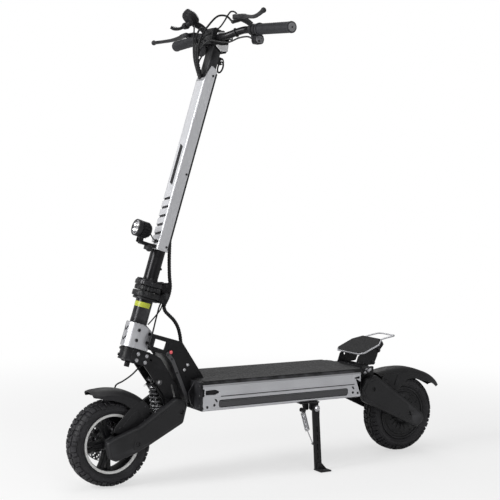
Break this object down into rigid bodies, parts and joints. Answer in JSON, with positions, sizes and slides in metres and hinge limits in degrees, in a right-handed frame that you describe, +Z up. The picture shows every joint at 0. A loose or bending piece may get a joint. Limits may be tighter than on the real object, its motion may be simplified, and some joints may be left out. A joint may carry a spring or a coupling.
{
  "type": "electric kick scooter",
  "caption": "Folding off-road electric kick scooter: sprung arms, knobby tyres, aluminium deck with grip mat, raised footrest, tall folding stem, wide handlebar and kick stand.",
  "frame": {"origin": "on the ground, at the middle of the footprint, in the vertical mid-plane", "axes": "+X forward, +Y to the rider's left, +Z up"},
  "size_m": [1.3614, 0.681, 1.4217],
  "materials": {
    "silver_aluminium": "satin anodised",
    "black_metal": "satin black powder coat",
    "black_plastic": "matte moulded",
    "black_rubber": "ribbed",
    "tyre_rubber": "dull",
    "steel": "machined",
    "rim_paint": "gloss off-white and black",
    "grip_rubber": "soft",
    "battery_wrap": "shrink wrap",
    "motor_metal": "satin"
  },
  "bodies": {
    "chassis": {"deck_side_left": "silver_aluminium", "deck_side_right": "silver_aluminium", "deck_bottom_cover": "black_metal", "deck_lid": "black_metal", "deck_mat": "black_rubber", "deck_rear_bracket": "black_metal", "battery_pack": "battery_wrap", "controller": "black_metal", "neck_frame": "black_metal", "head_clamp": "silver_aluminium", "headset_bearing_upper": "steel", "headset_bearing_lower": "steel", "footrest_bracket": "black_metal", "footrest_plate": "silver_aluminium", "kickstand_bracket": "black_metal"},
    "kickstand": {"kickstand_leg": "black_metal"},
    "fork": {"steering_column": "black_metal", "fork_crown": "black_metal", "fork_plate_left": "black_metal", "fork_plate_right": "black_metal", "fold_clamp": "black_metal", "fold_pin": "steel", "front_pivot_pin": "steel"},
    "stem": {"stem_lower_tube": "black_metal", "stem_tube": "silver_aluminium", "handlebar_riser": "black_metal", "handlebar": "black_metal", "grip_left": "grip_rubber", "grip_right": "grip_rubber", "brake_perch_left": "black_metal", "brake_perch_right": "black_metal", "headlight_bracket": "black_metal", "display_housing": "black_plastic", "switch_pod": "black_plastic"},
    "lock_collar": {"lock_collar": "black_metal"},
    "headlight": {"headlight": "black_metal"},
    "latch": {"latch_hook": "black_metal"},
    "left_lever": {"brake_lever_left": "black_metal"},
    "right_lever": {"brake_lever_right": "black_metal"},
    "throttle": {"throttle_trigger": "black_plastic"},
    "button": {"switch_button": "black_plastic"},
    "front_arm": {"front_arm": "black_metal", "front_arm_cover_left": "black_plastic", "front_arm_cover_right": "black_plastic", "front_fender": "black_plastic", "front_axle": "steel"},
    "front_wheel": {"front_rim": "rim_paint", "front_tyre": "tyre_rubber", "front_brake_disc": "steel"},
    "front_shock": {"front_shock_body": "black_metal"},
    "front_shock_rod": {"front_shock_rod": "steel"},
    "rear_arm": {"rear_arm": "black_metal", "rear_arm_cover_left": "black_plastic", "rear_arm_cover_right": "black_plastic", "rear_fender": "black_plastic", "rear_axle": "steel"},
    "rear_wheel": {"rear_hub_motor": "motor_metal", "rear_tyre": "tyre_rubber"},
    "rear_shock": {"rear_shock_body": "black_metal"},
    "rear_shock_rod": {"rear_shock_rod": "steel"}
  },
  "joints": [
    {"name": "kickstand_swing", "type": "hinge", "parent": "chassis", "child": "kickstand", "pos_m": [-0.0915, 0.129, 0.197], "axis": [0, 1, 0], "range_deg": [0, 84]},
    {"name": "steering", "type": "hinge", "parent": "chassis", "child": "fork", "pos_m": [0.6019, 0, 0], "axis": [-0.284, 0, 0.9588], "range_deg": [-40, 40]},
    {"name": "stem_fold", "type": "hinge", "parent": "fork", "child": "stem", "pos_m": [0.38199, 0, 0.55228], "axis": [0, -1, 0], "range_deg": [0, 84]},
    {"name": "lock_collar_turn", "type": "hinge", "parent": "stem", "child": "lock_collar", "pos_m": [0.6019, 0, 0], "axis": [-0.284, 0, 0.9588], "range_deg": [0, 60]},
    {"name": "headlight_tilt", "type": "hinge", "parent": "stem", "child": "headlight", "pos_m": [0.45854, 0, 0.72515], "axis": [0, 1, 0], "range_deg": [-12, 12]},
    {"name": "latch_swing", "type": "hinge", "parent": "stem", "child": "latch", "pos_m": [0.19181, 0, 1.25417], "axis": [0, 1, 0], "range_deg": [0, 50]},
    {"name": "brake_lever_left_pull", "type": "hinge", "parent": "stem", "child": "left_lever", "pos_m": [0.2205, 0.124, 1.375], "axis": [0, 0, 1], "range_deg": [0, 10]},
    {"name": "brake_lever_right_pull", "type": "hinge", "parent": "stem", "child": "right_lever", "pos_m": [0.2465, -0.126, 1.341], "axis": [0, 0, -1], "range_deg": [0, 12]},
    {"name": "throttle_pull", "type": "hinge", "parent": "stem", "child": "throttle", "pos_m": [0.2435, -0.146, 1.37], "axis": [0, 1, 0], "range_deg": [0, 25]},
    {"name": "switch_press", "type": "slide", "parent": "stem", "child": "button", "axis": [1, 0, 0], "range_m": [0, 0.0014]},
    {"name": "front_suspension", "type": "hinge", "parent": "fork", "child": "front_arm", "pos_m": [0.3535, 0, 0.214], "axis": [0, -1, 0], "range_deg": [-2, 7]},
    {"name": "front_wheel_spin", "type": "hinge", "parent": "front_arm", "child": "front_wheel", "pos_m": [0.5532, 0, 0.1275], "axis": [0, 1, 0], "continuous": true},
    {"name": "front_shock_swing", "type": "hinge", "parent": "fork", "child": "front_shock", "pos_m": [0.4095, 0, 0.3], "axis": [0, -1, 0], "range_deg": [-0.3, 0.8]},
    {"name": "front_shock_stroke", "type": "slide", "parent": "front_shock", "child": "front_shock_rod", "axis": [0.1334, 0, 0.9911], "range_m": [-0.0017, 0.0056]},
    {"name": "rear_suspension", "type": "hinge", "parent": "chassis", "child": "rear_arm", "pos_m": [-0.3405, 0, 0.226], "axis": [0, 1, 0], "range_deg": [-2, 7]},
    {"name": "rear_wheel_spin", "type": "hinge", "parent": "rear_arm", "child": "rear_wheel", "pos_m": [-0.5182, 0, 0.1275], "axis": [0, 1, 0], "continuous": true},
    {"name": "rear_shock_swing", "type": "hinge", "parent": "chassis", "child": "rear_shock", "pos_m": [-0.3685, 0, 0.287], "axis": [0, 1, 0], "range_deg": [-0.8, 2.4]},
    {"name": "rear_shock_stroke", "type": "slide", "parent": "rear_shock", "child": "rear_shock_rod", "axis": [0.1504, 0, 0.9886], "range_m": [-0.0015, 0.0048]}
  ],
  "couplings": [
    {"joint": "front_shock_swing", "follows": "front_suspension", "ratio": 0.10077},
    {"joint": "front_shock_stroke", "follows": "front_suspension", "m_per_rad": 0.044478},
    {"joint": "rear_shock_swing", "follows": "rear_suspension", "ratio": 0.32869},
    {"joint": "rear_shock_stroke", "follows": "rear_suspension", "m_per_rad": 0.037712}
  ]
}
